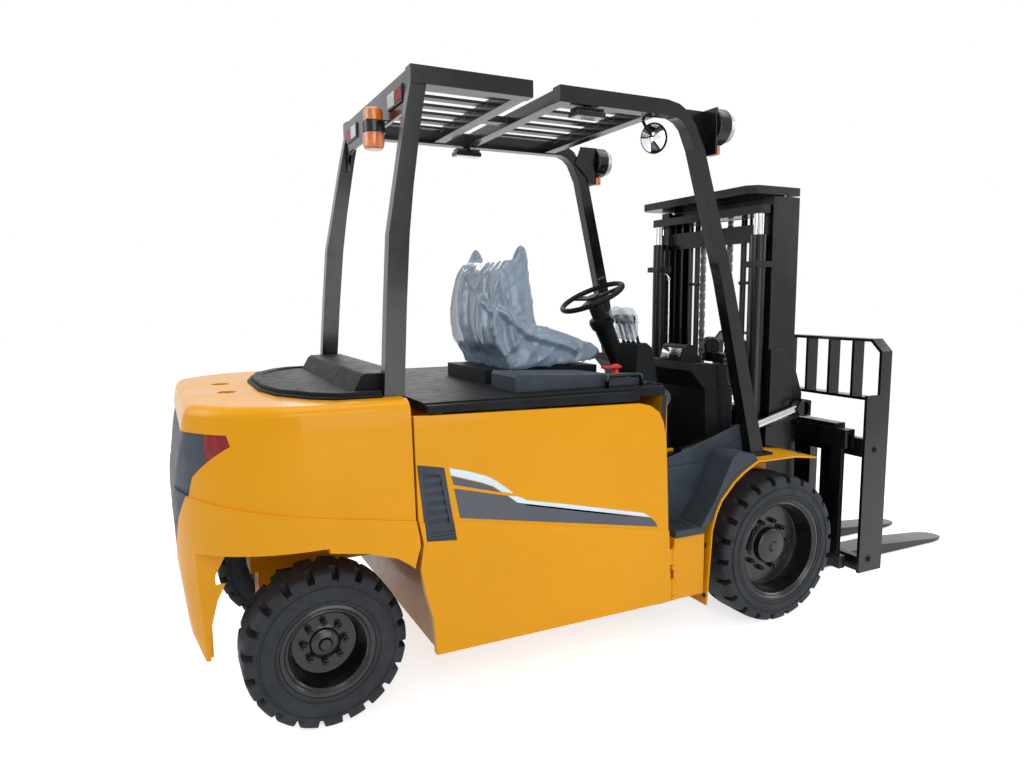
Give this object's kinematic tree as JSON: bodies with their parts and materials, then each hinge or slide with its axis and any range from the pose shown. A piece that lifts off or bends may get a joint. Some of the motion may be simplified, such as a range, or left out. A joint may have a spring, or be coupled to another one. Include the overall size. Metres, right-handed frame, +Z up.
{
  "type": "electric counterbalance forklift truck",
  "caption": "Battery-electric counterbalance forklift with overhead guard, three-stage mast, side-shifting forks and load backrest.",
  "frame": {"origin": "on the floor, under the middle of the truck's overall footprint", "axes": "+X forward to the fork tips, +Y to the truck's left, +Z up"},
  "size_m": [4.4563, 1.4, 2.403],
  "materials": {
    "body_paint": "gloss orange-yellow paint",
    "black_steel": "satin black paint",
    "grey_plastic": "textured dark grey plastic",
    "black_plastic": "textured black plastic",
    "tyre_rubber": "new solid tyre rubber",
    "rim_paint": "gloss black paint",
    "battery_case": "dark grey battery case",
    "seat_cover": "grey seat under clear film",
    "red_lens": "red lamp lens",
    "amber_lens": "amber lens",
    "mirror_glass": "convex mirror in a dark shell",
    "chrome_rod": "polished rod"
  },
  "bodies": {
    "chassis": {"frame": "body_paint", "battery": "battery_case", "counterweight": "body_paint", "rear_panel": "grey_plastic", "tow_pin": "black_steel", "deck_tray": "black_plastic", "side_panel_left": "body_paint", "panel_vent": "grey_plastic", "fenders": "body_paint", "steps": "grey_plastic", "floor_plate": "black_plastic", "cowl": "black_plastic", "steering_column": "black_plastic", "controls": "black_plastic", "drive_axle": "black_steel", "steer_axle": "black_steel", "guard_rails": "black_steel", "guard_pillars": "black_steel", "guard_roof": "black_steel", "rear_lamps": "red_lens", "front_lamps": "grey_plastic", "beacon": "amber_lens", "mirror_arm": "mirror_glass", "hood": "black_plastic", "side_console": "grey_plastic", "seat": "seat_cover"},
    "side_door": {"side_door": "body_paint", "door_vent": "grey_plastic"},
    "steering_wheel": {"steering_wheel": "black_plastic"},
    "knuckle_right": {"knuckle_right": "black_steel"},
    "knuckle_left": {"knuckle_left": "black_steel"},
    "front_wheel_right": {"front_tyre_right": "tyre_rubber", "front_rim_right": "rim_paint"},
    "front_wheel_left": {"front_tyre_left": "tyre_rubber", "front_rim_left": "rim_paint"},
    "rear_wheel_right": {"rear_tyre_right": "tyre_rubber", "rear_rim_right": "rim_paint"},
    "rear_wheel_left": {"rear_tyre_left": "tyre_rubber", "rear_rim_left": "rim_paint"},
    "mast_outer": {"mast_outer": "black_steel", "lift_cylinders": "black_steel"},
    "mast_middle": {"mast_middle": "black_steel", "lift_rods": "chrome_rod"},
    "mast_inner": {"mast_inner": "black_steel", "free_cylinder": "black_steel"},
    "crosshead": {"crosshead": "black_steel"},
    "carriage": {"carriage": "black_steel"},
    "fork_frame": {"fork_frame": "black_steel", "load_backrest": "black_steel"},
    "fork_right": {"fork_right": "black_steel"},
    "fork_left": {"fork_left": "black_steel"},
    "tilt_barrels": {"tilt_barrels": "black_steel"},
    "tilt_rods": {"tilt_rods": "chrome_rod"}
  },
  "joints": [
    {"name": "front_wheel_right_spin", "type": "hinge", "parent": "chassis", "child": "front_wheel_right", "pos_m": [0.3863, -0.58, 0.355], "axis": [0, 1, 0], "continuous": true},
    {"name": "front_wheel_left_spin", "type": "hinge", "parent": "chassis", "child": "front_wheel_left", "pos_m": [0.3863, 0.58, 0.355], "axis": [0, 1, 0], "continuous": true},
    {"name": "steer_right", "type": "hinge", "parent": "chassis", "child": "knuckle_right", "pos_m": [-1.7437, -0.355, 0.296], "axis": [0, 0, 1], "range_deg": [-70, 70]},
    {"name": "steer_left", "type": "hinge", "parent": "chassis", "child": "knuckle_left", "pos_m": [-1.7437, 0.355, 0.296], "axis": [0, 0, 1], "range_deg": [-70.5, 70.5]},
    {"name": "rear_wheel_right_spin", "type": "hinge", "parent": "knuckle_right", "child": "rear_wheel_right", "pos_m": [-1.7437, -0.52, 0.296], "axis": [0, 1, 0], "continuous": true},
    {"name": "rear_wheel_left_spin", "type": "hinge", "parent": "knuckle_left", "child": "rear_wheel_left", "pos_m": [-1.7437, 0.52, 0.296], "axis": [0, 1, 0], "continuous": true},
    {"name": "steering_wheel_turn", "type": "hinge", "parent": "chassis", "child": "steering_wheel", "pos_m": [-0.2437, 0, 1.55], "axis": [0.4289, 0, -0.9033], "continuous": true},
    {"name": "side_door_swing", "type": "hinge", "parent": "chassis", "child": "side_door", "pos_m": [-0.2537, -0.688, 0.3], "axis": [0, 0, 1], "range_deg": [0, 105]},
    {"name": "mast_tilt", "type": "hinge", "parent": "chassis", "child": "mast_outer", "pos_m": [0.3863, 0, 0.355], "axis": [0, 1, 0], "range_deg": [-8, 6]},
    {"name": "mast_lift", "type": "slide", "parent": "mast_outer", "child": "mast_middle", "axis": [0, 0, 1], "range_m": [0, 1.3]},
    {"name": "inner_lift", "type": "slide", "parent": "mast_middle", "child": "mast_inner", "axis": [0, 0, 1], "range_m": [0, 1.31]},
    {"name": "free_lift", "type": "slide", "parent": "mast_inner", "child": "carriage", "axis": [0, 0, 1], "range_m": [0, 1.1]},
    {"name": "crosshead_lift", "type": "slide", "parent": "mast_inner", "child": "crosshead", "axis": [0, 0, 1], "range_m": [0, 0.56]},
    {"name": "side_shift", "type": "slide", "parent": "carriage", "child": "fork_frame", "axis": [0, 1, 0], "range_m": [-0.025, 0.175]},
    {"name": "fork_right_slide", "type": "slide", "parent": "fork_frame", "child": "fork_right", "axis": [0, -1, 0], "range_m": [-0.075, 0.3]},
    {"name": "fork_left_slide", "type": "slide", "parent": "fork_frame", "child": "fork_left", "axis": [0, 1, 0], "range_m": [-0.075, 0.3]},
    {"name": "tilt_barrel_swing", "type": "hinge", "parent": "chassis", "child": "tilt_barrels", "pos_m": [-0.1037, 0, 0.805], "axis": [0, 1, 0], "range_deg": [-5, 4]},
    {"name": "tilt_rod_slide", "type": "slide", "parent": "tilt_barrels", "child": "tilt_rods", "axis": [0.9743, 0, 0.2253], "range_m": [-0.085, 0.065]}
  ],
  "couplings": [
    {"joint": "steer_left", "follows": "steer_right", "ratio": 1},
    {"joint": "inner_lift", "follows": "mast_lift", "ratio": 1},
    {"joint": "crosshead_lift", "follows": "free_lift", "ratio": 0.5},
    {"joint": "tilt_barrel_swing", "follows": "mast_tilt", "ratio": 0.54},
    {"joint": "tilt_rod_slide", "follows": "mast_tilt", "m_per_rad": 0.555}
  ]
}
